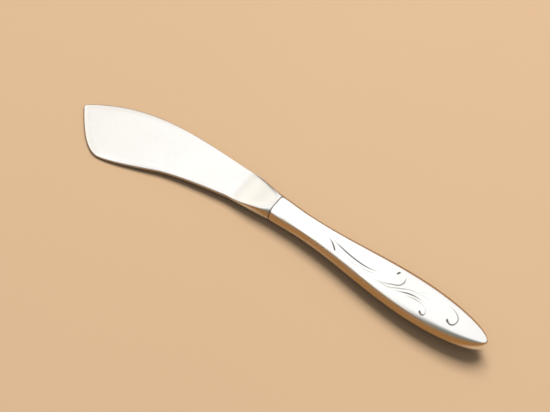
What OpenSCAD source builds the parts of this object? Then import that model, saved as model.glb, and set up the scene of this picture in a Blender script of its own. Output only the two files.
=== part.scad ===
// Butter knife: a curved flat blade with bolster and tang, forged in one, and a hollow handle
// of two struck halves that are soldered along their seam and cemented round the tang.
// The knife is drawn along X with the joint between bolster and handle at zero, the butt of the
// handle towards +X, and the blade in the XY plane, sweeping towards -Y. It is then laid down
// as it rests on a table: on the end of the blade and on the underside of the bolster.

/* [Handle] */
// Length of the handle, from the joint to the butt
handle_len = 92.6; // [80:0.2:110]
// Width of the handle at its mouth
mouth_w = 10.7; // [9.6:0.1:12]
// Thickness of the handle at its mouth
mouth_t = 8.8; // [8:0.1:10]
// Width of the handle at its waist
waist_w = 9.7; // [9.2:0.1:11]
// Thickness of the handle at its waist
waist_t = 8.4; // [7.6:0.1:10]
// Distance of the waist from the joint
waist_at = 13; // [9:1:20]
// Width of the handle at its widest place
belly_w = 16.2; // [12:0.1:18]
// Thickness of the handle at its widest place
belly_t = 9.4; // [8:0.1:12]
// Distance of the widest place from the joint
belly_at = 62; // [45:1:70]
// Squareness of the handle's cross-section, where 2 is an ellipse
handle_power = 3.6; // [2.6:0.1:4]
// Share of its width that the cross-section loses, as its sides lean in, from the seam to the top
lean_share = 0.22; // [0:0.02:0.3]
// Squareness of the butt seen from the side, where 2 is an ellipse
butt_power = 8; // [4:1:12]
// Thickness of the struck metal
shell_wall = 0.45; // [0.4:0.05:0.8]

/* [Blade] */
// Length of the blade with its bolster, from the joint to the tip
blade_len = 88.3; // [75:0.1:100]
// How far the back edge stands off the knife's middle line
back_rise = 6.6; // [5.8:0.1:8]
// How far the tip lies off the middle line, towards the swept side
tip_drop = 8.1; // [5:0.1:11]
// How far the belly of the swept edge lies off the middle line
belly_drop = 22.8; // [18:0.1:26]
// Distance off the middle line at which the swept edge leaves the bolster
front_rise = 7.2; // [6:0.1:8]
// Thickness the flat of the blade would have at the joint
shoulder_t = 2.6; // [2:0.1:3.2]
// Thickness of the blade at its tip
tip_t = 1.2; // [0.8:0.1:1.6]

/* [Bolster and tang] */
// Length over which the blade thickens to meet the handle
bolster_len = 18; // [14:1:24]
// Length of the step that plugs the mouth of the handle
spigot_len = 3; // [2:0.5:5]
// Length of the tang inside the handle
tang_len = 34; // [25:1:42]
// Width of the tang at its root
tang_w = 5; // [4:0.1:6]
// Width of the tang at its end
tang_end_w = 3.2; // [2:0.1:4]
// Thickness of the tang
tang_t = 2.4; // [1.6:0.1:3]

/* [Solder and cement] */
// Depth of the solder bead, inwards from the wall
bead_w = 0.8; // [0.5:0.1:1.2]
// Height of the solder bead across the seam
bead_t = 0.9; // [0.5:0.1:1.4]
// Width of the cement line between bolster and handle
joint_gap = 0.2; // [0.1:0.05:0.3]
// Depth to which that line lies below the surface
joint_recess = 0.15; // [0.1:0.05:0.3]
// How far the cement in the handle reaches past the end of the tang
cement_cover = 4; // [2:1:20]
// Clearance between pieces that fit into each other
fit_gap = 0.05; // [0.03:0.01:0.1]

/* [Resting] */
// Angle by which the knife rolls over to its swept side as it comes to rest, in degrees
rest_roll = 2.6; // [0:0.1:4]

/* [Hidden] */

// How finely the curves are divided
body_steps = 22;
butt_steps = 12;
section_steps = 14;
edge_steps = 14;
bolster_steps = 12;
// Angle short of a right angle at which the last section before the butt's end point lies
butt_last = 87;
// Overrun of cuts and roots past the faces that they cross
overrun = 1;
// Squareness of the bolster's cross-section where it leaves the flat blade
flat_power = 9;
// How soon the bolster thins, and turns square and upright at its sides, on its way from the
// joint; 1 is evenly, less is sooner
thinning_power = 0.8;
squaring_power = 0.6;
// Distance from the joint to where the cement in the handle ends
cement_len = tang_len + cement_cover;
// Steepest tilt that is tried when the knife is laid down, and how often it is halved
steepest_pitch = 15;
settle_steps = 30;

// Outline of the blade, as control points of curves. The first number of a point is a share of
// the length named before it, and the second a share of the height named after it.
// Along the bolster, shares of bolster_len; heights of half the mouth, then of the edge's rise
flare_share = [0, 1/3, 1/2, 1];
back_mouth_share = 0.98;
back_rise_share = 1.03;
front_mouth_share = 1.16;
front_rise_share = 0.875;
// Back edge, shares of blade_len and back_rise
back_share = [[0.5, 1], [0.76, 1.28]];
// End of the blade, from the tip to the belly, shares of blade_len and belly_drop
end_share = [[0.937, 0.64], [0.853, 1], [0.785, 1]];
// Swept edge, from the belly to the bolster, shares of blade_len and belly_drop
swept_share = [[0.739, 0.99], [0.66, 0.865], [0.523, 0.628], [0.432, 0.489]];
// Slope of the swept edge where it meets the bolster
swept_slope_share = 0.19;

// Value between a and b that leaves and arrives level, for t from 0 to 1
function ease(a, b, t) = a + (b - a) * (1 - cos(180 * t)) / 2;

// Point at t on the curve with the four control points of c
function curve_at(c, t) =
    pow(1 - t, 3) * c[0] + 3 * pow(1 - t, 2) * t * c[1] + 3 * (1 - t) * t * t * c[2] + pow(t, 3) * c[3];

// Points of a curve, its last one left out so that curves can follow each other
function curve(c) = [for (i = [0 : edge_steps - 1]) curve_at(c, i / edge_steps)];

// Power of a number that keeps the number's sign
function signed_pow(v, p) = sign(v) * pow(abs(v), p);

// Point at angle a of a squared ellipse with half-axes w and t, whose sides lean in by a share
function section_point(w, t, power, lean, a) =
    let (rise = signed_pow(sin(a), 2 / power))
    [w * signed_pow(cos(a), 2 / power) * (1 - lean * abs(rise)), t * rise];

// Size of the handle, as a half, at distance x from the joint, up to its widest place
function handle_half(x, mouth, waist, belly) = x < waist_at
    ? ease(mouth, waist, x / waist_at) / 2
    : ease(waist, belly, (x - waist_at) / (belly_at - waist_at)) / 2;

// Places along the handle, as [x, half width, half thickness], for a surface that lies `inset`
// inside the outer one, from x to the last section before the butt's end point
function stations(inset, from_x, to_x = handle_len) = concat(
    [for (i = [0 : body_steps])
        let (x = from_x + (min(belly_at, to_x) - from_x) * i / body_steps)
        [x, handle_half(x, mouth_w, waist_w, belly_w) - inset,
            handle_half(x, mouth_t, waist_t, belly_t) - inset]],
    to_x < handle_len ? [] : [for (i = [1 : butt_steps])
        let (a = butt_last * i / butt_steps)
        [belly_at + (handle_len - inset - belly_at) * sin(a), (belly_w / 2 - inset) * cos(a),
            (belly_t / 2 - inset) * pow(1 - pow(sin(a), butt_power), 1 / butt_power)]]);

// Edges of the bolster at t, from 0 at the joint to 1 at the blade
bolster_x = [for (s = flare_share) -s * bolster_len];
back_flare = [[bolster_x[0], mouth_w / 2], [bolster_x[1], back_mouth_share * mouth_w / 2],
    [bolster_x[2], back_rise_share * back_rise], [bolster_x[3], back_rise]];
front_flare = [[bolster_x[0], -mouth_w / 2], [bolster_x[1], -front_mouth_share * mouth_w / 2],
    [bolster_x[2], -front_rise_share * front_rise], [bolster_x[3], -front_rise]];

tip = [-blade_len, -tip_drop];
end_points = [for (s = end_share) [-s[0] * blade_len, -s[1] * belly_drop]];
swept_points = [for (s = swept_share) [-s[0] * blade_len, -s[1] * belly_drop]];
back_points = [for (s = back_share) [-s[0] * blade_len, s[1] * back_rise]];
bolster_back = [-bolster_len, back_rise];
bolster_front = [-bolster_len, -front_rise];
swept_last = bolster_front + [-bolster_len, -bolster_len * swept_slope_share] / 2;
blade_outline = concat(
    curve([bolster_back, back_points[0], back_points[1], tip]),
    curve([tip, end_points[0], end_points[1], end_points[2]]),
    curve([end_points[2], swept_points[0], swept_points[1], swept_points[2]]),
    curve([swept_points[2], swept_points[3], swept_last, bolster_front]),
    [bolster_front]);

// Half the thickness of the flat of the blade at x
function flat_half(x) = (shoulder_t + (shoulder_t - tip_t) * x / blade_len) / 2;

// Sections of the bolster, as [x, middle, half width, half thickness, squareness, lean]
bolster_sections = [for (i = [0 : bolster_steps])
    let (t = 1 - i / bolster_steps, b = curve_at(back_flare, t), f = curve_at(front_flare, t),
        u = -b[0] / bolster_len, inset = i == 0 ? fit_gap : 0)
    [b[0] - inset, (b[1] + f[1]) / 2, (b[1] - f[1]) / 2 - inset,
        ease(mouth_t / 2, flat_half(-bolster_len), pow(u, thinning_power)) - inset,
        ease(handle_power, flat_power, pow(u, squaring_power)),
        ease(lean_share, 0, pow(u, squaring_power))]];

// The step of the bolster that plugs the handle, smaller than the hollow all along its length
spigot_w = handle_half(spigot_len, mouth_w, waist_w, belly_w) - shell_wall - fit_gap;
spigot_t = handle_half(spigot_len, mouth_t, waist_t, belly_t) - shell_wall - fit_gap;

// Triangles between rings of m points each, ring after ring; seen from outside they run clockwise
function skin(rings, m) = [for (i = [0 : rings - 2]) for (k = [0 : m - 1])
    let (a = i * m + k, b = i * m + (k + 1) % m) each [[a, a + m, b + m], [a, b + m, b]]];

// Solid through rings of points, each closed by a fan round its own middle
module loft(rings, first_middle, last_middle) {
    m = len(rings[0]);
    n = len(rings);
    polyhedron(
        points = concat([for (r = rings) each r], [first_middle, last_middle]),
        faces = concat(skin(n, m),
            [for (k = [0 : m - 1]) [n * m, k, (k + 1) % m]],
            [for (k = [0 : m - 1]) [n * m + 1, (n - 1) * m + (k + 1) % m, (n - 1) * m + k]]));
}

// Ring of a whole cross-section at x
function ring(x, middle, w, t, power, lean) = [for (k = [0 : 2 * section_steps - 1])
    let (p = section_point(w, t, power, lean, 180 * k / section_steps)) [x, middle + p[0], p[1]]];

// Rings of the bolster, and of the handle at its stations
bolster_rings = [for (s = bolster_sections) ring(s[0], s[1], s[2], s[3], s[4], s[5])];
function handle_rings(places) = [for (s = places) ring(s[0], 0, s[1], s[2], handle_power, lean_share)];

// How the knife lies. Its points are first rolled to the swept side, which leaves them as
// [x, height], and then the handle is tipped up until the bolster and the blade's end both touch
function rolled(p) = [p[0], p[1] * sin(rest_roll) + p[2] * cos(rest_roll)];
function height(p, tilt) = p[0] * sin(tilt) + p[1] * cos(tilt);
function lowest(points, tilt) = min([for (p = points) height(p, tilt)]);
function settle(low, high, steps) = let (tilt = (low + high) / 2)
    steps == 0 ? tilt
    : lowest(blade_feet, tilt) > lowest(handle_feet, tilt) ? settle(tilt, high, steps - 1)
    : settle(low, tilt, steps - 1);
blade_feet = [for (p = blade_outline) rolled([p[0], p[1], -flat_half(p[0])])];
handle_feet = concat(
    [for (r = bolster_rings) each [for (p = r) rolled(p)]],
    [for (r = handle_rings(stations(0, joint_gap))) each [for (p = r) rolled(p)]]);
pitch = settle(0, steepest_pitch, settle_steps);
lift = -min(lowest(blade_feet, pitch), lowest(handle_feet, pitch));
outline_y = [for (p = blade_outline) p[1]];
middle_x = (handle_len - blade_len) / 2 * cos(pitch);
middle_y = (max(belly_w / 2, max(outline_y)) + min(outline_y)) / 2;

// Extrudes a drawing of the cross-section along X, from one x to the other
module along_x(from_x, to_x) {
    translate([from_x, 0, 0]) rotate([90, 0, 90]) linear_extrude(height = to_x - from_x) children();
}

// Drawing of the cross-section with half-axes w and t
module section(w, t) {
    polygon([for (k = [0 : 4 * section_steps - 1])
        section_point(w, t, handle_power, lean_share, 90 * k / section_steps)]);
}

// Lays the knife down, with the middle of its box at the origin and its underside on z = 0
module lying() {
    translate([-middle_x, -middle_y, lift]) rotate([rest_roll, -pitch, 0]) children();
}

// Flat part of the blade, as thick as its wedge allows
module blade_flat() {
    intersection() {
        linear_extrude(height = 2 * shoulder_t, center = true) polygon(concat(blade_outline,
            // a tongue that runs on inside the bolster
            [[-overrun, -tang_w / 2], [-overrun, tang_w / 2]]));
        rotate([90, 0, 0]) linear_extrude(height = 4 * belly_drop, center = true) polygon([
            [0, flat_half(0)], [-blade_len - overrun, flat_half(-blade_len - overrun)],
            [-blade_len - overrun, -flat_half(-blade_len - overrun)], [0, -flat_half(0)]]);
    }
}

// Swelling of the blade that meets the handle
module bolster() {
    first = bolster_sections[0];
    loft(bolster_rings, [first[0], first[1], 0], [0, 0, 0]);
}

// Flat bar inside the handle; `root` is how far it runs back into the bolster
module tang(root) {
    linear_extrude(height = tang_t, center = true) polygon([
        [-root, tang_w / 2], [-root, -tang_w / 2], [tang_len, -tang_end_w / 2], [tang_len, tang_end_w / 2]]);
}

// Depth at which the solder bead begins, clear of the wall that leans in over it
bead_inset = shell_wall + fit_gap + lean_share * bead_t * belly_w / belly_t / 2;

// Strip along the seam, between two surfaces inside the handle
module seam_strip(outer_inset, inner_inset) {
    outer = stations(outer_inset, spigot_len);
    inner = stations(inner_inset, spigot_len);
    last = len(outer) - 1;
    linear_extrude(height = bead_t, center = true) polygon(concat(
        [for (s = outer) [s[0], s[1]]], [[handle_len - outer_inset, 0]],
        [for (i = [last : -1 : 0]) [outer[i][0], -outer[i][1]]],
        [for (s = inner) [s[0], -s[1]]], [[handle_len - inner_inset, 0]],
        [for (i = [last : -1 : 0]) [inner[i][0], inner[i][1]]]));
}

// One half of the handle: rings of an outer and an inner half section, closed at the butt by
// one point for each surface and open at the mouth but for the edge of the metal
module half_shell() {
    outer = stations(0, joint_gap);
    inner = stations(shell_wall, joint_gap);
    n = len(outer);
    h = section_steps + 1;
    m = 2 * h;
    rings = [for (i = [0 : n - 1]) each concat(
        [for (k = [0 : section_steps])
            let (p = section_point(outer[i][1], outer[i][2], handle_power, lean_share, 180 * k / section_steps))
            [outer[i][0], p[0], p[1]]],
        [for (k = [section_steps : -1 : 0])
            let (p = section_point(inner[i][1], inner[i][2], handle_power, lean_share, 180 * k / section_steps))
            [inner[i][0], p[0], p[1]]])];
    outer_end = n * m;
    inner_end = outer_end + 1;
    last = (n - 1) * m;
    polyhedron(
        points = concat(rings, [[handle_len, 0, 0], [handle_len - shell_wall, 0, 0]]),
        faces = concat(skin(n, m),
            [for (k = [0 : section_steps - 1]) each [[k, k + 1, m - 2 - k], [k, m - 2 - k, m - 1 - k]]],
            [for (k = [0 : section_steps - 1]) [last + k, outer_end, last + k + 1]],
            [for (k = [h : m - 2]) [last + k, inner_end, last + k + 1]],
            [[last + h - 1, outer_end, inner_end], [last + h - 1, inner_end, last + h],
                [last + m - 1, inner_end, outer_end], [last + m - 1, outer_end, last]]));
}

module blade() {
    color([0.86, 0.86, 0.84]) lying() union() {
        blade_flat();
        bolster();
        along_x(-overrun, spigot_len) section(spigot_w, spigot_t);
        tang(overrun);
    }
}

module top_shell() {
    color([0.93, 0.92, 0.9]) lying() half_shell();
}

module bottom_shell() {
    color([0.88, 0.87, 0.85]) lying() mirror([0, 0, 1]) half_shell();
}

module seam_solder() {
    color([0.7, 0.7, 0.68]) lying() seam_strip(bead_inset, bead_inset + bead_w);
}

module handle_cement() {
    places = stations(shell_wall + fit_gap, spigot_len, cement_len);
    color([0.45, 0.33, 0.24]) lying() difference() {
        loft(handle_rings(places), [spigot_len, 0, 0], [places[len(places) - 1][0], 0, 0]);
        tang(overrun);
        seam_strip(0, bead_inset + bead_w);
    }
}

module mouth_cement() {
    color([0.3, 0.26, 0.22]) lying() difference() {
        along_x(0, joint_gap) section(mouth_w / 2 - joint_recess, mouth_t / 2 - joint_recess);
        along_x(-overrun, joint_gap + overrun) section(spigot_w, spigot_t);
    }
}

blade();
top_shell();
bottom_shell();
seam_solder();
handle_cement();
mouth_cement();
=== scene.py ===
"""Looks of the butter knife: its struck handle with the tendril ornament, its blade and its metals.

The knife is drawn along X, with the joint between blade and handle at zero and the butt towards
+X, and is then laid down just as the CAD model lies. Lengths are in metres.
"""

import math

import bmesh
import bpy
import numpy as np
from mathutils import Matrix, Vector


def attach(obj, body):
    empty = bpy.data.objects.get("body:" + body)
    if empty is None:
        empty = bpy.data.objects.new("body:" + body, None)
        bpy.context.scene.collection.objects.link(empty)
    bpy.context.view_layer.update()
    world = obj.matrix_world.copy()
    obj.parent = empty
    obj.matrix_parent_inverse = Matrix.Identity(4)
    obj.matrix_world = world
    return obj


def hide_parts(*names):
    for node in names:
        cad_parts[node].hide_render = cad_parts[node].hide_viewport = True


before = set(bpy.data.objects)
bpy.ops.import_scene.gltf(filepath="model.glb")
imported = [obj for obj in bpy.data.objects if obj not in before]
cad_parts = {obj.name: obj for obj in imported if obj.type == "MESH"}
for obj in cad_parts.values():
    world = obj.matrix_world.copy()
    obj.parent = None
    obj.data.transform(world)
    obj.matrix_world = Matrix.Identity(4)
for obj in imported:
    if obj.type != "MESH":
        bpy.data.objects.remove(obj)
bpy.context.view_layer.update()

MM = 0.001

# Handle, as in the CAD model
HANDLE_LEN = 92.6 * MM
MOUTH_W = 10.7 * MM
MOUTH_T = 8.8 * MM
WAIST_W = 9.7 * MM
WAIST_T = 8.4 * MM
WAIST_AT = 13 * MM
BELLY_W = 16.2 * MM
BELLY_T = 9.4 * MM
BELLY_AT = 62 * MM
HANDLE_POWER = 3.6
LEAN_SHARE = 0.22
BUTT_POWER = 8
SHELL_WALL = 0.45 * MM

# Blade, as in the CAD model
BLADE_LEN = 88.3 * MM
BACK_RISE = 6.6 * MM
TIP_DROP = 8.1 * MM
BELLY_DROP = 22.8 * MM
FRONT_RISE = 7.2 * MM
SHOULDER_T = 2.6 * MM
TIP_T = 1.2 * MM

# Bolster, spigot and tang, as in the CAD model
BOLSTER_LEN = 18 * MM
SPIGOT_LEN = 3 * MM
TANG_LEN = 34 * MM
TANG_W = 5 * MM
TANG_END_W = 3.2 * MM
TANG_T = 2.4 * MM
JOINT_GAP = 0.2 * MM
FIT_GAP = 0.05 * MM
REST_ROLL = math.radians(2.6)

# Shares that shape the blade's outline, as in the CAD model
FLARE_SHARE = (0, 1 / 3, 1 / 2, 1)
BACK_MOUTH_SHARE = 0.98
BACK_RISE_SHARE = 1.03
FRONT_MOUTH_SHARE = 1.16
FRONT_RISE_SHARE = 0.875
BACK_SHARE = ((0.5, 1), (0.76, 1.28))
END_SHARE = ((0.937, 0.64), (0.853, 1), (0.785, 1))
SWEPT_SHARE = ((0.739, 0.99), (0.66, 0.865), (0.523, 0.628), (0.432, 0.489))
SWEPT_SLOPE_SHARE = 0.19
FLAT_POWER = 9
THINNING_POWER = 0.8
SQUARING_POWER = 0.6
# The swept edge's last control point lies this share of the bolster's length beyond the bolster
SWEPT_LEAD_SHARE = 0.5

# How finely the CAD model divides its curves, which settles how it lies
CAD_BODY_STEPS = 22
CAD_SECTION_STEPS = 14
CAD_EDGE_STEPS = 14
CAD_BOLSTER_STEPS = 12
STEEPEST_PITCH = math.radians(15)
SETTLE_STEPS = 30

# Finish of the edges: the rounding at the joint, and how dark the metal of that rounding is painted, from
# 0 to 1, as tarnish and painted shade of the narrow joint; the rounding of the blade's edge, how far
# in from the edge the blade is thinned, and the share it loses at the edge; how much of the blade's
# tip is rounded off; and the most of the blade's width that one rounded edge takes up
MOUTH_ROUND = 0.1 * MM
MOUTH_TARNISH_AND_SHADE = 0.5
EDGE_ROUND = 0.35 * MM
EDGE_TAPER = 2.5 * MM
EDGE_THINNING = 0.35
TIP_ROUND = 1.2 * MM
EDGE_MOST_SHARE = 0.25

# Mesh density: columns up each side and over the face of a half section, and spacing of rows, for
# the outside of the handle and then its inside; columns and rows of the blade and its bolster; and
# the angle from which an edge is kept sharp
SIDE_COLUMNS = 16
FACE_COLUMNS = 132
ROW_SPACING = 0.17 * MM
PLAIN_ROW_SPACING = 0.5 * MM
INNER_COLUMNS = 6
INNER_ROW_SPACING = 2 * MM
EDGE_COLUMNS = 8
BLADE_COLUMNS = 26
BLADE_ROWS = 260
BOLSTER_ROWS = 54
SHARP_ANGLE = math.radians(38)
# Rows of the butt: the share of its length where they are dense, how many follow, and the angle of
# the last; and, for its inside, how many there are and the angle of the last
BUTT_DENSE_TO = 2 / 3
BUTT_ROWS = 70
BUTT_END = math.radians(89.6)
INNER_BUTT_ROWS = 24
INNER_BUTT_END = math.radians(88)
# Steps of a rounding at the joint, of each curve of the blade's outline and of its rounded tip
ROUND_STEPS = 5
OUTLINE_STEPS = 700
TIP_STEPS = 41
# Places measured at once, and parts that the blade's places are measured in, only to save memory
CUT_CHUNK = 2000
OUTLINE_CHUNKS = 40

# Ornament of one face. Each stroke has the half width and the depth of its cut, and the points
# that it runs through: millimetres along the handle from the joint, millimetres across it from
# the middle line, and the share of the size that the cut has there.
TENDRILS = (
    # short leaf, long leaf and two thin ones beside it, at the start
    ((0.42, 0.2), ((23.2, 0.1, 0), (25, -0.4, 0.5), (26.7, -1.2, 0.9), (27.9, -2, 1), (28.9, -2.8, 0.9))),
    ((0.42, 0.2), (
        (25.3, 0.6, 0), (27.2, -0.1, 0.4), (30.8, -0.8, 0.9), (34.5, -1.4, 1), (39.7, -1.8, 1),
        (42.8, -1.7, 0.8), (45.5, -1.1, 0.4), (47.2, -0.6, 0),
    )),
    ((0.36, 0.16), (
        (29.9, -1.5, 0), (33.2, -2.5, 0.3), (37.1, -3.2, 0.35), (40.2, -3, 0.2), (42.4, -2.4, 0),
    )),
    ((0.36, 0.16), ((40.2, -3.1, 0), (41.8, -3, 0.4), (44.5, -2.6, 0.5), (46.6, -1.8, 0))),
    # first curl
    ((0.42, 0.2), (
        (42.1, -3.8, 0), (44.3, -3.8, 0.12), (47.6, -3.6, 0.15), (49.6, -3.4, 0.35), (52, -2.7, 0.6),
        (54, -1.8, 0.75), (55.4, -1.2, 0.8), (56.3, -0.2, 0.8), (56.6, 1.2, 0.8), (56.2, 2.6, 0.4),
        (55.7, 3.4, 0.1),
    )),
    ((0.62, 0.26), ((52.6, 2.4, 0.6), (52.9, 3, 0.9), (53.1, 3.5, 0.6))),
    # strands between the curls
    ((0.55, 0.1), ((44.5, -3.8, 0), (47.5, -3.8, 0.4), (50, -3.7, 0.7), (52.3, -3.5, 0.4), (54, -3.1, 0))),
    ((0.36, 0.16), (
        (48.9, -3.9, 0), (51, -3.8, 0.4), (53.4, -3.4, 0.6), (55.5, -2.4, 0.45), (57.4, -1.3, 0),
    )),
    ((0.4, 0.19), (
        (51.8, -3.8, 0.1), (54.6, -2.8, 0.5), (57, -1.6, 0.65), (59.2, -0.4, 0.6), (61.5, 0.3, 0.45),
        (63.7, 0.5, 0.25), (66.2, 0.8, 0.2), (68.5, 0.9, 0),
    )),
    ((0.42, 0.2), (
        (55, -3.4, 0), (57.7, -2.6, 0.6), (59.7, -1.8, 0.95), (62.1, -1.2, 0.95), (64.7, -1, 0.5),
        (66.2, -1.1, 0),
    )),
    ((0.5, 0.1), ((61.7, 0.6, 0), (64.1, 1.8, 0.4), (66.9, 3.1, 0))),
    # second curl
    ((0.4, 0.19), (
        (58.9, -2.9, 0.1), (61.3, -2.3, 0.5), (63.6, -2, 0.6), (65.8, -2.1, 0.45), (67.5, -2.6, 0.25),
        (69, -3.5, 0.45), (69.3, -4.3, 0.65), (69, -4.9, 0.75), (68.1, -5.1, 0.8),
    )),
    ((0.52, 0.24), ((68.1, -5.1, 0.6), (67.5, -4.8, 1), (67.3, -4.6, 0.9))),
    # third curl
    ((0.42, 0.2), (
        (72.5, 3, 0), (74.3, 3.1, 0.15), (76.1, 2.8, 0.4), (77.9, 2.2, 0.6), (79.2, 1.4, 0.7),
        (80, 0.4, 0.75), (80.2, -1, 0.8), (79.7, -2.2, 0.95), (78.5, -2.6, 1), (77.3, -2.3, 1),
    )),
    ((0.62, 0.28), ((77.7, -2.4, 0.8), (77.2, -2.1, 1), (76.9, -1.7, 0.7))),
)
# Shallow flutes between the tendrils, given the same way
FLUTES = (
    ((0.9, 0.08), ((31, -1.5, 0), (36, -2.5, 1), (41, -2.6, 1), (46, -1.5, 0))),
    ((1, 0.08), (
        (46, -4.4, 0), (52, -3.8, 0.8), (57.5, -2, 1), (62, 0.2, 1), (67, 1.2, 0.7), (71.5, 1.3, 0),
    )),
    ((0.9, 0.07), ((54, -4.4, 0), (59, -3.2, 1), (64, -1.5, 1), (68.5, -1, 0))),
)
# The half width that is left where a cut runs out, as a share; the depth in millimetres from which
# a cut is darkest; and the spacing in millimetres of the points along a stroke
FINEST_SHARE = 0.4
DARKEST_DEPTH = 0.2
STROKE_SPACING = 0.04

# Sky: its strength by how far a direction points along X, the heights between which it turns from
# the dark of the room to white, and how much lower the white begins beside the handle and, added
# to that, on the far side
SKY_STRENGTH = 1.4
SKY_SHARES = (
    (-1, 0.8), (-0.8, 0.88), (-0.61, 0.9), (-0.56, 0.66), (-0.51, 0.65), (-0.475, 1.04), (-0.42, 1.06),
    (-0.37, 0.86), (-0.3, 0.77), (-0.2, 0.74), (0.1, 0.72), (1, 0.68),
)
DARK_TO = 0.32
WHITE_FROM = 0.52
HANDLE_LIFT = 0.2
FAR_LIFT = 0.4

# Where the parts of the sky lie, by how far a direction points along X or Y: from the blade's
# part to the handle's, the far side, the warm white beyond the blade's tip, and the duller part
HANDLE_SPAN = (-0.5, -0.4)
FAR_SPAN = (0.65, 0.88)
WARM_SPAN = (-0.53, -0.47)
DULL_SPAN = (-0.26, -0.18)
NEAR_SPAN = (0.58, 0.9)
LOW_BY_BLADE = (0.035, 0.03, 0.024)
LOW_BY_HANDLE = (0.23, 0.14, 0.05)
WHITE = (1, 1, 1)
WARM_WHITE = (1, 0.965, 0.9)
DULL = (0.2, 0.2, 0.17)

# Softbox: where it stands as seen from the knife, how far off, and its size, power and colour
SOFTBOX_SIDE = (-0.1, 0.4, 0.91)
SOFTBOX_DISTANCE = 2
SOFTBOX_SIZE = (1.6, 1)
SOFTBOX_POWER = 140
SOFTBOX_COLOUR = (1, 0.985, 0.96)

# Colours, each as the two that a surface varies between
SILVER = ((0.955, 0.945, 0.92), (0.92, 0.905, 0.87))
STAINLESS = ((0.85, 0.835, 0.81), (0.81, 0.795, 0.77))
SOLDER = ((0.62, 0.61, 0.58), (0.45, 0.44, 0.42))
CEMENT = ((0.09, 0.07, 0.055), (0.035, 0.028, 0.022))
FLOOR = ((0.203, 0.138, 0.083), (0.196, 0.133, 0.08))
# dark of the tarnish left in the ornament; on the rounding at the joint it is tarnish and painted shade of
# the narrow joint
TARNISH_AND_JOINT_SHADE = (0.1, 0.09, 0.078)
# painted shade: the colour the floor is painted towards when it is seen from low down
LOW_VIEW_PAINTED_SHADE = (0.088, 0.038, 0.008)

# Noises of each finish: scale, detail and, where they run along the knife, the stretch
ALL_OVER = (1, 1, 1)
SILVER_NOISES = {
    "cloud": (60, 4), "scratches": (260, 4, (1, 14, 14)), "smudge": (95, 3), "wave": (70, 2),
}
STAINLESS_NOISES = {
    "cloud": (45, 4), "lines": (420, 5, (1, 16, 16)), "marks": (700, 2, (1, 7, 7)),
    "smudge": (80, 3), "wave": (50, 2),
}
SOLDER_NOISE = (500, 4)
CEMENT_NOISE = (900, 5)
FLOOR_NOISE = (6, 3)

# Ranges of those noises, or of the depth of a groove, over which an effect comes in, each followed
# by what it comes in with: a share of the second colour, or a roughness. Full tarnish adds the
# roughness that has a value of its own
CLOUD_COMES = (0.35, 0.7, 0, 1)
TARNISH_COMES = (0.03, 0.85, 0, 0.92)
TARNISH_ROUGHNESS = 0.3
SILVER_SMUDGE = (0.4, 0.72, 0, 0.07)
SILVER_SCRATCHES = (0.3, 0.75, 0.16, 0.23)
STAINLESS_MARKS = (0.6, 0.75, 0, 0.06)
STAINLESS_SMUDGE = (0.4, 0.7, 0, 0.05)
STAINLESS_LINES = (0.3, 0.7, 0.18, 0.27)
SOLDER_ROUGHNESS = (0.3, 0.7, 0.35, 0.6)
CEMENT_ROUGHNESS = (0.3, 0.7, 0.75, 0.95)
FLOOR_ROUGHNESS = (0.3, 0.7, 0.6, 0.66)

# Heights of the fine relief
SCRATCH_HEIGHT = 0.0006 * MM
SILVER_WAVE = 0.012 * MM
STAINLESS_WAVE = 0.01 * MM
SOLDER_LUMPS = 0.05 * MM
CEMENT_LUMPS = 0.04 * MM

# Floor: half its width, its shine, and how flat it has to be seen for its painted shade, which makes it
# look deeper, to come in
FLOOR_HALF = 4
FLOOR_SPECULAR = 0.2
LOW_VIEW_SHADE_SPAN = (0.27, 0.38)

# Camera: where it looks, from which side and from how far, for an image 550 pixels wide, and how
# many of those pixels a millimetre takes up where it looks
IMAGE_WIDTH = 550
CAMERA_TARGET = Vector((-3.16, 7.46, 5)) * MM
CAMERA_AZIMUTH = math.radians(38.44)
CAMERA_ELEVATION = math.radians(59.13)
CAMERA_DISTANCE = 570.4 * MM
FOCAL_SHARE = 2.729
SENSOR_WIDTH = 36
CLIP_START = 10 * MM


def ease(a, b, t):
    """Value between a and b that leaves and arrives level, for t from 0 to 1."""
    return a + (b - a) * (1 - np.cos(np.pi * t)) / 2


def curve_at(points, t):
    """Points at t on the curve with four control points."""
    c = np.array(points)
    t = np.atleast_1d(t)[:, None]
    return (1 - t) ** 3 * c[0] + 3 * (1 - t) ** 2 * t * c[1] + 3 * (1 - t) * t * t * c[2] + t**3 * c[3]


def shares(pairs, length, drop):
    """Control points given as shares of a length towards the tip and of a height."""
    return [(-a * length, b * drop) for a, b in pairs]


def handle_half(x, mouth, waist, belly):
    """Half the size of the handle at x, up to its widest place."""
    near = ease(mouth, waist, np.clip(x / WAIST_AT, 0, 1))
    far = ease(waist, belly, np.clip((x - WAIST_AT) / (BELLY_AT - WAIST_AT), 0, 1))
    return np.where(x < WAIST_AT, near, far) / 2


def flat_half(x):
    """Half the thickness of the flat of the blade at x."""
    return (SHOULDER_T + (SHOULDER_T - TIP_T) * x / BLADE_LEN) / 2


def square_path(side, face):
    """Points of half a unit square, up one side, over the top and down the other side."""
    rise = np.linspace(0, 1, side, endpoint=False)
    over = np.linspace(1, -1, face, endpoint=False)
    fall = np.linspace(1, 0, side + 1)
    across = np.concatenate([np.ones(side), over, -np.ones(side + 1)])
    up = np.concatenate([rise, np.ones(face), fall])
    return across, up


def squared_ellipse(path, power, lean):
    """Squared ellipse of half-axes 1 behind the points of a square, its sides leaning in by a share."""
    across, up = path
    size = (np.abs(across) ** power + np.abs(up) ** power) ** (1 / power)
    return across / size * (1 - lean * np.abs(up / size)), up / size


# How the knife lies

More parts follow.
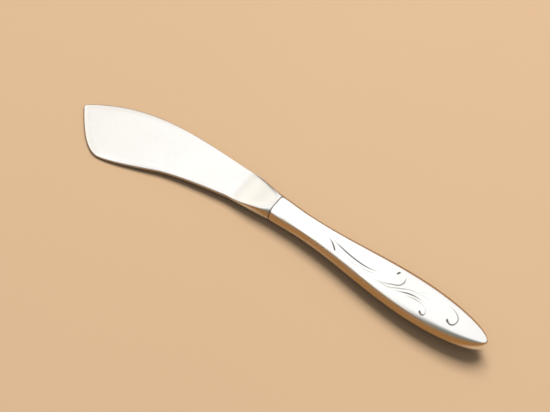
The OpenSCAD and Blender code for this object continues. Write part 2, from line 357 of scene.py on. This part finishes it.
def bolster_edges(t):
    """x, back edge and front edge of the bolster, for t from 0 at the joint to 1 at the blade."""
    x = [-s * BOLSTER_LEN for s in FLARE_SHARE]
    half = MOUTH_W / 2
    back = (half, BACK_MOUTH_SHARE * half, BACK_RISE_SHARE * BACK_RISE, BACK_RISE)
    front = (-half, -FRONT_MOUTH_SHARE * half, -FRONT_RISE_SHARE * FRONT_RISE, -FRONT_RISE)
    b = curve_at(list(zip(x, back)), t)
    f = curve_at(list(zip(x, front)), t)
    return b[:, 0], b[:, 1], f[:, 1]


def bolster_shape(x):
    """Half thickness, squareness and lean of the bolster at x."""
    u = -x / BOLSTER_LEN
    half_t = ease(MOUTH_T / 2, flat_half(-BOLSTER_LEN), u**THINNING_POWER)
    turned = u**SQUARING_POWER
    return half_t, ease(HANDLE_POWER, FLAT_POWER, turned), ease(LEAN_SHARE, 0, turned)


def outline_curves():
    """Control points of the back edge, the blade's end and the two parts of the swept edge."""
    tip = (-BLADE_LEN, -TIP_DROP)
    end = shares(END_SHARE, BLADE_LEN, -BELLY_DROP)
    swept = shares(SWEPT_SHARE, BLADE_LEN, -BELLY_DROP)
    front = (-BOLSTER_LEN, -FRONT_RISE)
    lead = SWEPT_LEAD_SHARE * BOLSTER_LEN
    last = (-BOLSTER_LEN - lead, -FRONT_RISE - SWEPT_SLOPE_SHARE * lead)
    back = [(-BOLSTER_LEN, BACK_RISE), *shares(BACK_SHARE, BLADE_LEN, BACK_RISE), tip]
    return back, [tip, *end], [end[2], *swept[:3]], [swept[2], swept[3], last, front]


def cad_ring(x, middle, half_w, half_t, power, lean):
    """Ring of a cross-section as the CAD model divides it."""
    a = np.pi * np.arange(2 * CAD_SECTION_STEPS) / CAD_SECTION_STEPS
    rise = np.sign(np.sin(a)) * np.abs(np.sin(a)) ** (2 / power)
    y = half_w * np.sign(np.cos(a)) * np.abs(np.cos(a)) ** (2 / power) * (1 - lean * np.abs(rise))
    return np.stack([np.full_like(a, x), middle + y, half_t * rise], 1)


def cad_feet():
    """Points that the blade and the handle can rest on, as the CAD model has them."""
    t = np.arange(CAD_EDGE_STEPS) / CAD_EDGE_STEPS
    outline = np.concatenate([curve_at(c, t) for c in outline_curves()] + [[(-BOLSTER_LEN, -FRONT_RISE)]])
    blade = np.column_stack([outline, -flat_half(outline[:, 0])])
    t = 1 - np.arange(CAD_BOLSTER_STEPS + 1) / CAD_BOLSTER_STEPS
    x, back, front = bolster_edges(t)
    rings = [cad_ring(*r) for r in zip(x, (back + front) / 2, (back - front) / 2, *bolster_shape(x))]
    for x in np.linspace(JOINT_GAP, BELLY_AT, CAD_BODY_STEPS + 1):
        half_w = handle_half(x, MOUTH_W, WAIST_W, BELLY_W)
        half_t = handle_half(x, MOUTH_T, WAIST_T, BELLY_T)
        rings.append(cad_ring(x, 0, half_w, half_t, HANDLE_POWER, LEAN_SHARE))
    return blade, np.concatenate(rings), outline


def settle():
    """The pitch at which bolster and blade both touch, the lift, and the middle of the box."""
    blade, handle, outline = cad_feet()

    def lowest(points, pitch):
        """Height of the lowest of the points once they are rolled and pitched."""
        height = points[:, 1] * math.sin(REST_ROLL) + points[:, 2] * math.cos(REST_ROLL)
        return np.min(points[:, 0] * math.sin(pitch) + height * math.cos(pitch))

    low = 0
    high = STEEPEST_PITCH
    for _ in range(SETTLE_STEPS):
        pitch = (low + high) / 2
        if lowest(blade, pitch) > lowest(handle, pitch):
            low = pitch
        else:
            high = pitch
    pitch = (low + high) / 2
    lift = -min(lowest(blade, pitch), lowest(handle, pitch))
    middle_x = (HANDLE_LEN - BLADE_LEN) / 2 * math.cos(pitch)
    middle_y = (max(BELLY_W / 2, outline[:, 1].max()) + outline[:, 1].min()) / 2
    return pitch, lift, middle_x, middle_y


PITCH, LIFT, MIDDLE_X, MIDDLE_Y = settle()


def laid(points):
    """Points of the drawn knife, moved to where the knife lies."""
    x, y, z = points.T
    turned_y = y * math.cos(REST_ROLL) - z * math.sin(REST_ROLL)
    turned_z = y * math.sin(REST_ROLL) + z * math.cos(REST_ROLL)
    placed_x = x * math.cos(PITCH) - turned_z * math.sin(PITCH) - MIDDLE_X
    placed_z = x * math.sin(PITCH) + turned_z * math.cos(PITCH) + LIFT
    return np.stack([placed_x, turned_y - MIDDLE_Y, placed_z], 1)


# Making meshes

def new_piece(name, points, faces, material, values):
    """A smooth-shaded piece of the knife, with a value at each point for its material."""
    mesh = bpy.data.meshes.new(name)
    mesh.from_pydata(laid(points).tolist(), [], faces)
    attribute = mesh.attributes.new("groove", "FLOAT", "POINT")
    attribute.data.foreach_set("value", values.astype(np.float32))
    shape = bmesh.new()
    shape.from_mesh(mesh)
    bmesh.ops.recalc_face_normals(shape, faces=shape.faces)
    shape.to_mesh(mesh)
    shape.free()
    mesh.shade_smooth()
    mesh.set_sharp_from_angle(angle=SHARP_ANGLE)
    mesh.materials.append(material)
    piece = bpy.data.objects.new(name, mesh)
    bpy.context.scene.collection.objects.link(piece)
    return piece


def grid_faces(rows, columns, first=0, closed=False):
    """Quads between rows of points; a closed row joins its last point to its first."""
    faces = []
    for i in range(rows - 1):
        start = first + i * columns
        for k in range(columns if closed else columns - 1):
            a = start + k
            b = start + (k + 1) % columns
            faces.append((a, b, b + columns, a + columns))
    return faces


def zip_lines(one, other, place):
    """Triangles between two lines of points that run the same way; place orders the points."""
    faces = []
    i = 0
    k = 0
    while i < len(one) - 1 or k < len(other) - 1:
        ahead = k == len(other) - 1 or (i < len(one) - 1 and place[one[i + 1]] <= place[other[k + 1]])
        if ahead:
            faces.append((one[i], one[i + 1], other[k]))
            i += 1
        else:
            faces.append((one[i], other[k + 1], other[k]))
            k += 1
    return faces


# Ornament

def smooth_line(points):
    """Closely spaced points of a smooth curve through the given ones."""
    p = np.array(points, float)
    p = np.concatenate([[2 * p[0] - p[1]], p, [2 * p[-1] - p[-2]]])
    parts = []
    for a, b, c, d in zip(p, p[1:], p[2:], p[3:]):
        steps = int(np.linalg.norm((c - b)[:2]) / STROKE_SPACING) + 2
        t = (np.arange(steps) / steps)[:, None]
        part = 2 * b + (c - a) * t + (2 * a - 5 * b + 4 * c - d) * t**2 + (3 * b - a - 3 * c + d) * t**3
        parts.append(part / 2)
    return np.concatenate([*parts, p[-2:-1]])


def cut(depth, places, size, points):
    """Deepens `depth` at the places that lie along a stroke."""
    line = smooth_line(points)
    share = np.clip(line[:, 2], 0, 1)
    line = line[:, :2]
    half_width = size[0] * (FINEST_SHARE + (1 - FINEST_SHARE) * share)
    low = line.min(0) - size[0]
    high = line.max(0) + size[0]
    near = np.flatnonzero(np.all((places > low) & (places < high), axis=1))
    for chunk in np.array_split(near, len(near) // CUT_CHUNK + 1):
        away = np.linalg.norm(places[chunk, None] - line[None], axis=2)
        nearest = away.argmin(1)
        q = np.minimum(away.min(1) / half_width[nearest], 1)
        depth[chunk] = np.maximum(depth[chunk], size[1] * share[nearest] * np.cos(np.pi / 2 * q) ** 2)


def ornament(places):
    """Depth of the tendrils and of the flutes at places on a face, all in millimetres."""
    depths = []
    for strokes in (TENDRILS, FLUTES):
        depth = np.zeros(len(places))
        for size, points in strokes:
            cut(depth, places, size, points)
        depths.append(depth)
    return depths


# Handle

def handle_rows():
    """x, half width and half thickness of the rows of the outer surface of the handle."""
    turn = np.linspace(0, np.pi / 2, ROUND_STEPS)
    mouth = JOINT_GAP + MOUTH_ROUND * (1 - np.cos(turn))
    ornament_from = min(points[0][0] for _, points in TENDRILS) * MM
    plain = np.arange(mouth[-1] + PLAIN_ROW_SPACING, ornament_from - PLAIN_ROW_SPACING, PLAIN_ROW_SPACING)
    dense = np.arange(plain[-1] + PLAIN_ROW_SPACING, BELLY_AT, ROW_SPACING)
    x = np.concatenate([mouth, plain, dense])
    from_edge = np.clip((x - JOINT_GAP) / MOUTH_ROUND, 0, 1)
    inset = MOUTH_ROUND * (1 - np.sqrt(1 - (1 - from_edge) ** 2))
    half_w = handle_half(x, MOUTH_W, WAIST_W, BELLY_W) - inset
    half_t = handle_half(x, MOUTH_T, WAIST_T, BELLY_T) - inset
    dense_angle = math.asin(BUTT_DENSE_TO)
    dense_butt = np.arcsin(np.arange(0, BUTT_DENSE_TO, ROW_SPACING / (HANDLE_LEN - BELLY_AT)))
    butt = np.concatenate([dense_butt, np.linspace(dense_angle, BUTT_END, BUTT_ROWS)])
    butt_x, butt_w, butt_t = butt_size(butt, 0)
    return np.append(x, butt_x), np.append(half_w, butt_w), np.append(half_t, butt_t)


def butt_size(angle, inset):
    """x, half width and half thickness of the butt, at an angle from 0 to a right angle."""
    x = BELLY_AT + (HANDLE_LEN - inset - BELLY_AT) * np.sin(angle)
    half_w = (BELLY_W / 2 - inset) * np.cos(angle)
    half_t = (BELLY_T / 2 - inset) * (1 - np.sin(angle) ** BUTT_POWER) ** (1 / BUTT_POWER)
    return x, half_w, half_t


def inner_rows():
    """x, half width and half thickness of the rows of the inner surface of the handle."""
    x = np.arange(JOINT_GAP, BELLY_AT, INNER_ROW_SPACING)
    half_w = handle_half(x, MOUTH_W, WAIST_W, BELLY_W) - SHELL_WALL
    half_t = handle_half(x, MOUTH_T, WAIST_T, BELLY_T) - SHELL_WALL
    butt_x, butt_w, butt_t = butt_size(np.linspace(0, INNER_BUTT_END, INNER_BUTT_ROWS), SHELL_WALL)
    return np.append(x, butt_x), np.append(half_w, butt_w), np.append(half_t, butt_t)


def surface(rows, path):
    """Points of a half surface over a path round its section, row after row."""
    x, half_w, half_t = rows
    y, z = squared_ellipse(path, HANDLE_POWER, LEAN_SHARE)
    shape = (len(x), len(y))
    return np.stack([np.broadcast_to(x[:, None], shape), half_w[:, None] * y, half_t[:, None] * z], 2)


def outward(points):
    """Unit normals of a grid of points, pointing out of the handle."""
    along = np.gradient(points, axis=0)
    round_it = np.gradient(points, axis=1)
    normal = np.cross(along, round_it)
    return normal / np.linalg.norm(normal, axis=2, keepdims=True)


def shell_faces(points, outer_shape, inner_shape):
    """Faces of a half shell, whose last two points are the ends of its outer and inner surface."""
    rows, columns = outer_shape
    inner_count, inner_columns = inner_shape
    first = rows * columns
    outer_end = len(points) - 2
    inner_end = len(points) - 1
    faces = grid_faces(rows, columns) + grid_faces(inner_count, inner_columns, first)
    last = (rows - 1) * columns
    inner_last = first + (inner_count - 1) * inner_columns
    faces += [(last + k, last + k + 1, outer_end) for k in range(columns - 1)]
    faces += [(inner_last + k, inner_last + k + 1, inner_end) for k in range(inner_columns - 1)]
    # rims along the seam, where the other half is soldered on
    for side in (0, -1):
        outside = [i * columns + side % columns for i in range(rows)]
        inside = [first + i * inner_columns + side % inner_columns for i in range(inner_count)]
        faces += zip_lines([*outside, outer_end], [*inside, inner_end], points[:, 0])
    # rim at the mouth
    across = -points[:, 1] / MOUTH_W
    faces += zip_lines(list(range(columns)), list(range(first, first + inner_columns)), across)
    return faces


def half_shell(name, node, up, material):
    """One struck half of the handle: outer surface with its ornament, inner surface and rims."""
    outer = surface(handle_rows(), square_path(SIDE_COLUMNS, FACE_COLUMNS))
    inner = surface(inner_rows(), square_path(INNER_COLUMNS, 3 * INNER_COLUMNS))
    lines, soft = ornament(outer.reshape(-1, 3)[:, :2] / MM)
    mouth_end = outer[:, :, 0].ravel() < JOINT_GAP + MOUTH_ROUND
    outer = outer - outward(outer) * (lines + soft).reshape(*outer.shape[:2], 1) * MM
    ends = [(HANDLE_LEN, 0, 0), (HANDLE_LEN - SHELL_WALL, 0, 0)]
    points = np.concatenate([outer.reshape(-1, 3), inner.reshape(-1, 3), ends])
    groove = np.zeros(len(points))
    # the rounding at the mouth is darkened too, as tarnish and painted shade of the narrow joint
    groove[: len(lines)] = np.maximum(lines / DARKEST_DEPTH, mouth_end * MOUTH_TARNISH_AND_SHADE)
    faces = shell_faces(points, outer.shape[:2], inner.shape[:2])
    points[:, 2] *= up
    piece = new_piece(name, points, faces, material, groove)
    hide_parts(node)
    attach(piece, "root")


# Blade

def run_of(line):
    """Shares of its length at which the points of a line lie."""
    run = np.concatenate([[0], np.cumsum(np.linalg.norm(np.diff(line, axis=0), axis=1))])
    return run / run[-1]


def shorten(line, length):
    """The line without the last `length` of it."""
    left = np.linalg.norm(line - line[-1], axis=1) > length
    return line[left]


def edge_lines():
    """Back edge and front edge of the flat blade, which meet in the middle of the rounded tip."""
    t = np.linspace(0, 1, OUTLINE_STEPS)
    back, end, swept, front = (curve_at(c, t) for c in outline_curves())
    tip = back[-1]
    back = shorten(back, TIP_ROUND)
    front = shorten(np.concatenate([front[::-1], swept[::-1][1:], end[::-1][1:]]), TIP_ROUND)
    t = np.linspace(0, 1, TIP_STEPS)[:, None]
    corner = (1 - t) ** 2 * back[-1] + 2 * (1 - t) * t * tip + t**2 * front[-1]
    half = len(corner) // 2
    return np.concatenate([back, corner[1 : half + 1]]), np.concatenate([front, corner[half:-1][::-1]])


def at_share(line, share):
    """Points of a line at shares of its length."""
    run = run_of(line)
    return np.column_stack([np.interp(share, run, line[:, 0]), np.interp(share, run, line[:, 1])])


def to_outline(places, outline):
    """Distance of each place from the nearest point of the outline."""
    nearest = []
    for chunk in np.array_split(places, OUTLINE_CHUNKS):
        away = np.linalg.norm(chunk[:, None] - outline[None], axis=2)
        nearest.append(away.min(1))
    return np.concatenate(nearest)


def across_blade(width, across, up):
    """Shares across the blade at which its columns lie: close together on the rounded edges."""
    edge = np.minimum(EDGE_ROUND, width * EDGE_MOST_SHARE)[:, None]
    round_part = edge * (1 - np.cos(np.pi / 2 * up))
    flat_part = edge + (width[:, None] - 2 * edge) * (1 - across) / 2
    from_back = np.where(up < 1, round_part, flat_part)
    from_back = np.where((across < 0) & (up < 1), width[:, None] - round_part, from_back)
    return from_back / width[:, None]


def blade_half(path):
    """Upper half of the flat blade, thinner along its edges: rows from the back to the front edge."""
    back_line, front_line = edge_lines()
    share = np.linspace(0, 1, BLADE_ROWS, endpoint=False)
    back = at_share(back_line, share)
    front = at_share(front_line, share)
    width = np.linalg.norm(back - front, axis=1)
    part = across_blade(width, *path)[:, :, None]
    plan = back[:, None] + (front - back)[:, None] * part
    outline = np.concatenate([back_line, front_line[::-1]])
    from_edge = to_outline(plan.reshape(-1, 2), outline).reshape(plan.shape[:2])
    from_edge[:, 0] = 0
    from_edge[:, -1] = 0
    inward = np.clip(from_edge / EDGE_ROUND, 0, 1)
    thinned = 1 - EDGE_THINNING * (1 - np.clip(from_edge / EDGE_TAPER, 0, 1)) ** 2
    height = flat_half(plan[:, :, 0]) * thinned * np.sqrt(1 - (1 - inward) ** 2)
    return np.concatenate([plan, height[:, :, None]], 2), back_line[-1]


def bolster_half(path, blade_row):
    """Upper half of the bolster, from its end face at the joint to the first row of the blade."""
    turn = np.linspace(0, np.pi / 2, ROUND_STEPS)
    edge_t = MOUTH_ROUND * (1 - np.cos(turn)) / BOLSTER_LEN
    t = np.concatenate([edge_t, np.linspace(edge_t[-1], 1, BOLSTER_ROWS)[1:-1]])
    x, back, front = bolster_edges(t)
    from_face = np.clip(-x / MOUTH_ROUND, 0, 1)
    inset = MOUTH_ROUND * (1 - np.sqrt(1 - (1 - from_face) ** 2))
    half_w = (back - front) / 2 - inset
    half_t, power, lean = bolster_shape(x)
    half_t = half_t - inset
    # over its second half the section turns smoothly into that of the blade
    blend = np.clip(-2 * x / BOLSTER_LEN - 1, 0, 1)
    blend = blend**2 * (3 - 2 * blend)
    rows = []
    blade_y = blade_row[:, 1]
    blade_middle = (blade_y[0] + blade_y[-1]) / 2
    blade_y = (blade_y - blade_middle) / (blade_y[0] - blade_middle)
    blade_z = blade_row[:, 2] / blade_row[:, 2].max()
    for i in range(len(x)):
        y, z = squared_ellipse(path, power[i], lean[i])
        y = (y + (blade_y - y) * blend[i]) * half_w[i] + (back[i] + front[i]) / 2
        z = (z + (blade_z - z) * blend[i]) * half_t[i]
        rows.append(np.column_stack([np.full_like(y, x[i]), y, z]))
    return np.array(rows)


def plug_half(path):
    """Upper half of the spigot and of the tang, from the tang's end to the bolster's end face."""
    spigot_w = handle_half(SPIGOT_LEN, MOUTH_W, WAIST_W, BELLY_W) - SHELL_WALL - FIT_GAP
    spigot_t = handle_half(SPIGOT_LEN, MOUTH_T, WAIST_T, BELLY_T) - SHELL_WALL - FIT_GAP
    sections = (
        (TANG_LEN, TANG_END_W / 2, TANG_T / 2, FLAT_POWER, 0),
        (SPIGOT_LEN, TANG_W / 2, TANG_T / 2, FLAT_POWER, 0),
        (SPIGOT_LEN, spigot_w, spigot_t, HANDLE_POWER, LEAN_SHARE),
        (0, spigot_w, spigot_t, HANDLE_POWER, LEAN_SHARE),
    )
    rows = []
    for x, half_w, half_t, power, lean in sections:
        y, z = squared_ellipse(path, power, lean)
        rows.append(np.column_stack([np.full_like(y, x), y * half_w, z * half_t]))
    return np.array(rows)


def blade_piece(material):
    """Blade, bolster, spigot and tang in one closed skin of rings."""
    path = square_path(EDGE_COLUMNS, BLADE_COLUMNS)
    flat, tip = blade_half(path)
    rows = np.concatenate([plug_half(path), bolster_half(path, flat[0]), flat])
    under = rows[:, -2:0:-1] * (1, 1, -1)
    rings = np.concatenate([rows, under], 1)
    count, columns = rings.shape[:2]
    points = np.concatenate([rings.reshape(-1, 3), [(TANG_LEN, 0, 0), (*tip, 0)]])
    faces = grid_faces(count, columns, closed=True)
    tang_end = len(points) - 2
    last = (count - 1) * columns
    faces += [(k, (k + 1) % columns, tang_end) for k in range(columns)]
    faces += [(last + k, last + (k + 1) % columns, tang_end + 1) for k in range(columns)]
    # the rounding of the bolster's end face is darkened as tarnish and painted shade of the narrow joint
    mouth_end = (points[:, 0] > -MOUTH_ROUND) & (points[:, 0] <= 0)
    piece = new_piece("polished_blade", points, faces, material, mouth_end * MOUTH_TARNISH_AND_SHADE)
    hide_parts("blade")
    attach(piece, "root")


# Materials

class Nodes:
    """Short calls for building the nodes of a material or of the world."""

    def __init__(self, owner):
        owner.use_nodes = True
        self.owner = owner
        self.tree = owner.node_tree
        self.places = self.add("ShaderNodeTexCoord").outputs

    def add(self, kind, **settings):
        """A new node."""
        node = self.tree.nodes.new(kind)
        for key, value in settings.items():
            setattr(node, key, value)
        return node

    def give(self, socket, value):
        """Gives a socket a number, or what comes out of another node."""
        if isinstance(value, (int, float)):
            socket.default_value = value
        elif isinstance(value, tuple):
            socket.default_value = (*value, 1) if socket.type == "RGBA" else value
        else:
            self.tree.links.new(value, socket)

    def turned(self, scale):
        """The place on the knife in its own directions, stretched by scale."""
        node = self.add("ShaderNodeMapping")
        node.inputs["Rotation"].default_value = (-REST_ROLL, PITCH, 0)
        node.inputs["Scale"].default_value = scale
        self.give(node.inputs["Vector"], self.places["Object"])
        return node.outputs["Vector"]

    def noise(self, scale, detail, stretch=ALL_OVER):
        """Noise, stretched in the knife's own directions."""
        node = self.add("ShaderNodeTexNoise")
        node.inputs["Scale"].default_value = scale
        node.inputs["Detail"].default_value = detail
        self.give(node.inputs["Vector"], self.turned(stretch))
        return node.outputs["Fac"]

    def span(self, value, low, high, to_low, to_high):
        """The value moved from one range to another, and kept inside it."""
        node = self.add("ShaderNodeMapRange")
        for key, number in zip(("From Min", "From Max", "To Min", "To Max"), (low, high, to_low, to_high)):
            node.inputs[key].default_value = number
        self.give(node.inputs["Value"], value)
        return node.outputs["Result"]

    def mixed(self, share, one, other):
        """Colour between two colours."""
        node = self.add("ShaderNodeMix", data_type="RGBA")
        self.give(node.inputs["Factor"], share)
        ends = [socket for socket in node.inputs if socket.type == "RGBA"]
        self.give(ends[0], one)
        self.give(ends[1], other)
        return [socket for socket in node.outputs if socket.type == "RGBA"][0]

    def math(self, operation, one, other):
        """Two numbers put together."""
        node = self.add("ShaderNodeMath", operation=operation)
        self.give(node.inputs[0], one)
        self.give(node.inputs[1], other)
        return node.outputs["Value"]

    def toward(self, vector, direction):
        """How far a vector reaches in a direction."""
        node = self.add("ShaderNodeVectorMath", operation="DOT_PRODUCT")
        self.give(node.inputs[0], vector)
        self.give(node.inputs[1], direction)
        return node.outputs["Value"]

    def bump(self, height, distance, normal=None):
        """Fine relief of a given height, on top of another if given."""
        node = self.add("ShaderNodeBump")
        node.inputs["Distance"].default_value = distance
        self.give(node.inputs["Height"], height)
        if normal is not None:
            self.give(node.inputs["Normal"], normal)
        return node.outputs["Normal"]

    def finish(self, colour, roughness, normal=None, metallic=1):
        """The material, once its shader has its colour, roughness and relief."""
        shader = self.tree.nodes["Principled BSDF"]
        shader.inputs["Metallic"].default_value = metallic
        self.give(shader.inputs["Base Color"], colour)
        self.give(shader.inputs["Roughness"], roughness)
        if normal is not None:
            self.give(shader.inputs["Normal"], normal)
        return self.owner


def nodes_of(name):
    """Nodes of a new material."""
    return Nodes(bpy.data.materials.new(name))


def silver():
    """Polished silver with fine wear, faint smudges and darker metal left in the ornament."""
    n = nodes_of("polished_silver")
    cloud = n.noise(*SILVER_NOISES["cloud"])
    colour = n.mixed(n.span(cloud, *CLOUD_COMES), *SILVER)
    groove = n.add("ShaderNodeAttribute", attribute_name="groove").outputs["Fac"]
    dark = n.span(groove, *TARNISH_COMES)
    # tarnish in the ornament; on the rounding at the joint, tarnish and painted shade of the narrow joint
    colour = n.mixed(dark, colour, TARNISH_AND_JOINT_SHADE)
    scratches = n.noise(*SILVER_NOISES["scratches"])
    smudge = n.span(n.noise(*SILVER_NOISES["smudge"]), *SILVER_SMUDGE)
    rough = n.math("ADD", n.span(scratches, *SILVER_SCRATCHES), smudge)
    rough = n.math("ADD", rough, n.math("MULTIPLY", dark, TARNISH_ROUGHNESS))
    normal = n.bump(scratches, SCRATCH_HEIGHT)
    normal = n.bump(n.noise(*SILVER_NOISES["wave"]), SILVER_WAVE, normal)
    return n.finish(colour, rough, normal)


def stainless():
    """Stainless steel, satin polished along the blade, with light use marks."""
    n = nodes_of("satin_stainless")
    cloud = n.noise(*STAINLESS_NOISES["cloud"])
    colour = n.mixed(n.span(cloud, *CLOUD_COMES), *STAINLESS)
    groove = n.add("ShaderNodeAttribute", attribute_name="groove").outputs["Fac"]
    # the rounding at the joint is darkened as tarnish and painted shade of the narrow joint
    colour = n.mixed(groove, colour, TARNISH_AND_JOINT_SHADE)
    lines = n.noise(*STAINLESS_NOISES["lines"])
    marks = n.span(n.noise(*STAINLESS_NOISES["marks"]), *STAINLESS_MARKS)
    smudge = n.span(n.noise(*STAINLESS_NOISES["smudge"]), *STAINLESS_SMUDGE)
    rough = n.math("ADD", n.span(lines, *STAINLESS_LINES), n.math("ADD", marks, smudge))
    normal = n.bump(lines, SCRATCH_HEIGHT)
    normal = n.bump(n.noise(*STAINLESS_NOISES["wave"]), STAINLESS_WAVE, normal)
    return n.finish(colour, rough, normal)


def solder():
    """Dull grey solder, slightly lumpy."""
    n = nodes_of("grey_solder")
    cloud = n.noise(*SOLDER_NOISE)
    colour = n.mixed(cloud, *SOLDER)
    return n.finish(colour, n.span(cloud, *SOLDER_ROUGHNESS), n.bump(cloud, SOLDER_LUMPS))


def cement():
    """Dark, rough cement."""
    n = nodes_of("dark_cement")
    cloud = n.noise(*CEMENT_NOISE)
    colour = n.mixed(cloud, *CEMENT)
    rough = n.span(cloud, *CEMENT_ROUGHNESS)
    return n.finish(colour, rough, n.bump(cloud, CEMENT_LUMPS), metallic=0)


def floor_material():
    """Plain pale warm paint with little shine, with painted shade that makes it deeper and browner from
    low down.
    """
    n = nodes_of("pale_floor")
    cloud = n.noise(*FLOOR_NOISE)
    colour = n.mixed(cloud, *FLOOR)
    # painted shade: seen from low down, as in the knife's reflections, the floor is painted a deeper
    # brown, in place of the sheen that makes it look paler from above
    facing = n.add("ShaderNodeLayerWeight").outputs["Facing"]
    colour = n.mixed(n.span(facing, *LOW_VIEW_SHADE_SPAN, 0, 1), colour, LOW_VIEW_PAINTED_SHADE)
    n.tree.nodes["Principled BSDF"].inputs["Specular IOR Level"].default_value = FLOOR_SPECULAR
    return n.finish(colour, n.span(cloud, *FLOOR_ROUGHNESS), metallic=0)


# Stage

def floor():
    """Wide plain floor that the knife lies on."""
    half = FLOOR_HALF
    mesh = bpy.data.meshes.new("floor")
    corners = [(-half, -half, 0), (half, -half, 0), (half, half, 0), (-half, half, 0)]
    mesh.from_pydata(corners, [], [(0, 1, 2, 3)])
    mesh.materials.append(floor_material())
    piece = bpy.data.objects.new("floor", mesh)
    bpy.context.scene.collection.objects.link(piece)


def sky():
    """Soft white studio with a low dark rim, which is warm beside the handle and darker elsewhere."""
    world = bpy.data.worlds.new("studio")
    bpy.context.scene.world = world
    n = Nodes(world)
    direction = n.places["Generated"]
    height = n.toward(direction, (0, 0, 1))
    across = n.toward(direction, (1, 0, 0))
    beside_handle = n.span(across, *HANDLE_SPAN, 0, 1)
    far = n.toward(direction, (0, 1, 0))
    lift = n.span(far, *FAR_SPAN, HANDLE_LIFT, HANDLE_LIFT + FAR_LIFT)
    lift = n.math("MULTIPLY", lift, beside_handle)
    ramp = n.add("ShaderNodeValToRGB")
    ramp.color_ramp.interpolation = "EASE"
    stops = ramp.color_ramp.elements
    stops[0].position = DARK_TO
    stops[0].color = (0, 0, 0, 1)
    stops[1].position = WHITE_FROM
    stops[1].color = (1, 1, 1, 1)
    n.give(ramp.inputs["Fac"], n.math("ADD", height, lift))
    low = n.mixed(beside_handle, LOW_BY_BLADE, LOW_BY_HANDLE)
    # the white turns warm towards -X
    white = n.mixed(n.span(across, *WARM_SPAN, 1, 0), WHITE, WARM_WHITE)
    colour = n.mixed(ramp.outputs["Color"], low, white)
    # a duller part on the near side, from beside the handle on to beyond the butt
    right = n.span(across, *DULL_SPAN, 0, 1)
    near = n.span(n.toward(direction, (0, -1, 0)), *NEAR_SPAN, 0, 1)
    colour = n.mixed(n.math("MULTIPLY", right, near), colour, DULL)
    side = n.add("ShaderNodeFloatCurve")
    points = side.mapping.curves[0].points
    points[0].location = (0, SKY_SHARES[0][1])
    points[1].location = (1, SKY_SHARES[-1][1])
    for place, share in SKY_SHARES[1:-1]:
        points.new((1 + place) / 2, share)
    side.mapping.update()
    n.give(side.inputs["Value"], n.span(across, -1, 1, 0, 1))
    background = n.tree.nodes["Background"]
    n.give(background.inputs["Color"], colour)
    n.give(background.inputs["Strength"], n.math("MULTIPLY", side.outputs["Value"], SKY_STRENGTH))


def softbox():
    """Large soft light above the knife and behind it, which throws its shadow towards the camera."""
    direction = Vector(SOFTBOX_SIDE).normalized()
    light = bpy.data.lights.new("softbox", "AREA")
    light.shape = "RECTANGLE"
    light.size, light.size_y = SOFTBOX_SIZE
    light.energy = SOFTBOX_POWER
    light.color = SOFTBOX_COLOUR
    lamp = bpy.data.objects.new("softbox", light)
    lamp.location = direction * SOFTBOX_DISTANCE
    lamp.rotation_euler = direction.to_track_quat("Z", "Y").to_euler()
    lamp.visible_glossy = False
    bpy.context.scene.collection.objects.link(lamp)


def camera():
    """Camera at the photograph's viewing angle."""
    a = CAMERA_AZIMUTH
    e = CAMERA_ELEVATION
    back = Vector((math.sin(a) * math.cos(e), -math.cos(a) * math.cos(e), math.sin(e)))
    data = bpy.data.cameras.new("camera")
    data.sensor_width = SENSOR_WIDTH
    data.lens = FOCAL_SHARE * CAMERA_DISTANCE / MM * SENSOR_WIDTH / IMAGE_WIDTH
    data.clip_start = CLIP_START
    eye = bpy.data.objects.new("camera", data)
    eye.location = CAMERA_TARGET + back * CAMERA_DISTANCE
    eye.rotation_euler = (-back).to_track_quat("-Z", "Y").to_euler()
    bpy.context.scene.collection.objects.link(eye)
    bpy.context.scene.camera = eye


def dress_inner_nodes():
    """The CAD solids that stay get their materials."""
    finishes = {"seam_solder": solder(), "handle_cement": cement(), "mouth_cement": cement()}
    for node, material in finishes.items():
        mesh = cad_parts[node].data
        mesh.materials.clear()
        mesh.materials.append(material)


def build():
    """The dressed knife on its stage."""
    metal = silver()
    half_shell("struck_top_shell", "top_shell", 1, metal)
    half_shell("struck_bottom_shell", "bottom_shell", -1, metal)
    blade_piece(stainless())
    dress_inner_nodes()
    floor()
    sky()
    softbox()
    camera()
    bpy.context.scene.view_settings.view_transform = "Standard"


build()
